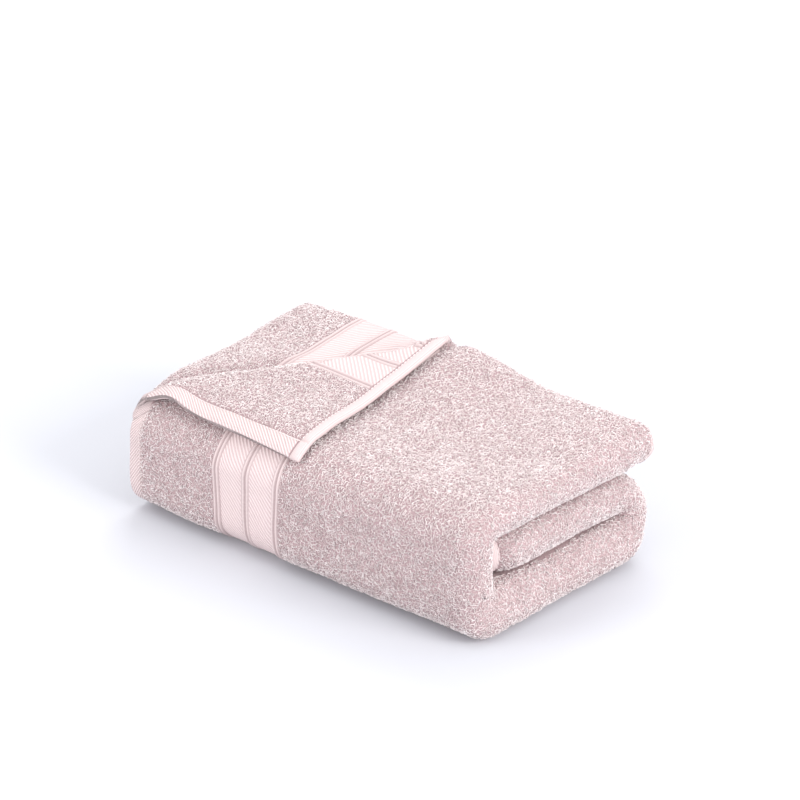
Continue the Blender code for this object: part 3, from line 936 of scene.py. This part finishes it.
# Stitches from places towards ends, sunk into the cloth at each end
def sewn(name, places, ends, look):
    shape = bmesh.new()
    for place, end in zip(places, ends):
        run = Vector(end - place)
        turn = run.to_track_quat("X", "Z").to_matrix().to_4x4()
        size = Matrix.Diagonal((run.length / 2, stitch["thick"], stitch["thick"], 1.0))
        middle = Matrix.Translation(Vector((place + end) / 2))
        bmesh.ops.create_icosphere(shape, subdivisions=1, radius=1.0, matrix=middle @ turn @ size)
    mesh = bpy.data.meshes.new(name)
    shape.to_mesh(mesh)
    shape.free()
    mesh.shade_smooth()
    mesh.materials.append(look)
    return asObject(name, mesh)


def seamLine(start, end):
    return np.arange(start, end - stitch["long"], stitch["step"])


def buildSeams(look):
    seams = []
    lowCut, highCut = lowSeamFlat(0.0), lowSeamFlat(1.0)
    slope = (highCut[1] - lowCut[1]) / (highCut[0] - lowCut[0])
    cutAcross = lowCut[1] + (inset - lowCut[0]) * slope + stitch["start"]
    cutAlongAt = lowCut[0] + (sideInset - lowCut[1]) / slope + stitch["start"]
    for name, along, start, side in (("endSeamOuter", inset, cutAcross, 1),
                                     ("endSeamInner", totalAlong - inset, sideHemWidth, -1)):
        at = seamLine(start, totalAcross - sideHemWidth)
        fixed = np.full_like(at, along)
        ends = laid(fixed, at + stitch["long"], lift * side)
        seams.append(sewn(name, laid(fixed, at, lift * side), ends, look))
    for name, across, start in (("sideSeamOuter", sideInset, cutAlongAt),
                                ("sideSeamInner", totalAcross - sideInset, hemWidth)):
        at = seamLine(start, totalAlong - hemWidth)
        fixed = np.full_like(at, across)
        seams.append(sewn(name, laid(at, fixed, lift), laid(at + stitch["long"], fixed, lift), look))
    return seams


def buildCornerSeams(look):
    whole = 1 - insetShare
    seams = []
    at = seamLine(sideInset, corner["hemLeg"] * (whole - inset / corner["sideLeg"]))
    fixed = np.full_like(at, inset)
    for name, side in (("cornerEndSeam", 1), ("cornerEndSeamUnder", -1)):
        seams.append(sewn(name, cornerLaid(fixed, at, lift * side),
                          cornerLaid(fixed, at + stitch["long"], lift * side), look))
    at = seamLine(inset + stitch["start"], corner["sideLeg"] * (whole - sideInset / corner["hemLeg"]))
    fixed = np.full_like(at, sideInset)
    for name, side in (("cornerSideSeam", 1), ("cornerSideSeamUnder", -1)):
        seams.append(sewn(name, cornerLaid(at, fixed, lift * side),
                          cornerLaid(at + stitch["long"], fixed, lift * side), look))
    return seams


# Assembly

yarn = loopYarn()
groundShade = terryGroundShade()
threads = threadLook()
# The terry and the grooves by the hems take the painted shade of the terry's base
clothLooks = (groundShade, ridgedCloth("hem", True), ridgedCloth("twill", False),
              corded("ribs", 0.0004), corded("selvedge", 0.0003), groundShade)

towel = buildTowel()
print("towel laid", len(towel.data.polygons), "faces")
cornerCloth = buildCorner()
crease = buildRoll()
print("corner turned back", len(cornerCloth.data.polygons), "faces")

loop = loopShape()
loopTree = pileTree(loop)
towelPile = growOnTowel(towel, loopTree, yarn)
cornerPile = []
creasePile = []
for source, name, made in ((cornerCloth, "pileCorner", cornerPile), (crease, "pileCrease", creasePile)):
    centres, normals, areas, zones = faceFacts(source.data)
    count = source["sideFaces"]
    order = np.arange(len(zones))
    upper = (zones == kinds.index("terry")) & (order < count)
    lower = (zones == kinds.index("terry")) & (order >= count) & (order < 2 * count)
    made.append(growPile(name, source, upper, loopTree, yarn))
    made.append(growPile(name + "Under", source, lower, loopTree, yarn))
bpy.data.objects.remove(loop)
print("pile grown", sum(len(p.data.polygons) for p in towelPile + cornerPile + creasePile), "faces")

seams = buildSeams(threads)
cornerSeams = buildCornerSeams(threads)
print("hems sewn")

for item in [towel] + towelPile + seams:
    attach(item, "folded_towel")
for item in [cornerCloth] + cornerPile + cornerSeams:
    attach(item, "turned_corner")

# A line across the crease, from the outermost layer's cut edge up to the corner's; the crease and its loops
# are fixed where they lie
high, low = rollEdges(np.array([0.5]))[:2]
up = np.cross(towardsTip, (peak - foot) / np.linalg.norm(peak - foot))
up = up if up[2] > 0 else -up
centre = (high[0] + low[0]) / 2
reach = abs(float((high[0] - low[0]) @ up)) / 2
start, end = tuple(centre - up * reach), tuple(centre + up * reach)
for item in [crease] + creasePile:
    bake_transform(item)

nodes = list(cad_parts)
flapNodes = [n for n in nodes if n.startswith("flap_") and n != "flap_fold"]
seamNodes = {"end_hem_seam_a": seams[0], "end_hem_seam_b": seams[1],
             "side_hem_seam_outer": seams[2], "side_hem_seam_inner": seams[3]}
for node, item in seamNodes.items():
    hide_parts(node)
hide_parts("flap_end_seam")
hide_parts("flap_side_seam")
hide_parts("flap_fold")
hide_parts(*[n for n in flapNodes if "seam" not in n])
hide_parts(*[n for n in nodes if not n.startswith("flap_") and "seam" not in n])
[cornerCloth, crease] + towelPile + cornerPile + creasePile + seams + cornerSeams

# Floor, light and camera

stageSet = {
    "floor": 3.0, "floorColour": (0.61, 0.625, 0.665), "world": (0.975, 0.972, 1.0), "worldLight": 1.10,
    "keyPlace": (2.8, 0.0, 1.5), "keySize": 1.6, "keyPower": 84.0,
    "fillPlace": (-0.9, -2.2, 0.9), "fillSize": 1.2, "fillPower": 29.0,
    "lampColour": (1.0, 0.98, 0.96),
    "backPlace": (-0.9, 1.6, 1.7), "backSize": 1.6, "backPower": 23.0,
}


def buildStage():
    shape = bmesh.new()
    bmesh.ops.create_grid(shape, x_segments=1, y_segments=1, size=stageSet["floor"])
    mesh = bpy.data.meshes.new("floor")
    shape.to_mesh(mesh)
    shape.free()
    graph = Graph("floorLook")
    graph.shader.inputs["Base Color"].default_value = (*stageSet["floorColour"], 1.0)
    graph.shader.inputs["Roughness"].default_value = 0.9
    graph.shader.inputs["Specular IOR Level"].default_value = 0.1
    mesh.materials.append(graph.material)
    floor = asObject("floor", mesh)
    world = bpy.data.worlds.new("studio")
    world.use_nodes = True
    background = world.node_tree.nodes["Background"]
    background.inputs["Color"].default_value = (*stageSet["world"], 1.0)
    background.inputs["Strength"].default_value = stageSet["worldLight"]
    bpy.context.scene.world = world
    for name in ("key", "fill", "back"):
        light = bpy.data.lights.new(name, "AREA")
        light.shape = "SQUARE"
        light.size = stageSet[name + "Size"]
        light.energy = stageSet[name + "Power"]
        light.color = stageSet["lampColour"]
        lamp = bpy.data.objects.new(name, light)
        lamp.location = stageSet[name + "Place"]
        lamp.rotation_euler = (-Vector(stageSet[name + "Place"])).to_track_quat("-Z", "Y").to_euler()
        bpy.context.scene.collection.objects.link(lamp)


view = {"turn": 41.52, "raised": 27.42, "away": 4.17, "height": 0.045, "lens": 247.0,
        "aside": 0.0074, "above": 0.0608}


def buildCamera():
    turn, raised = math.radians(view["turn"]), math.radians(view["raised"])
    back = Vector((math.sin(turn) * math.cos(raised), -math.cos(turn) * math.cos(raised), math.sin(raised)))
    right = Vector((math.cos(turn), math.sin(turn), 0.0))
    up = back.cross(right)
    centre = Vector((0.0, 0.0, view["height"]))
    data = bpy.data.cameras.new("camera")
    data.lens = view["lens"]
    camera = bpy.data.objects.new("camera", data)
    camera.location = centre + back * view["away"]
    aim = centre + right * view["aside"] + up * view["above"]
    camera.rotation_euler = (aim - camera.location).to_track_quat("-Z", "Y").to_euler()
    bpy.context.scene.collection.objects.link(camera)
    bpy.context.scene.camera = camera


buildStage()
buildCamera()
bpy.context.scene.view_settings.view_transform = "Standard"
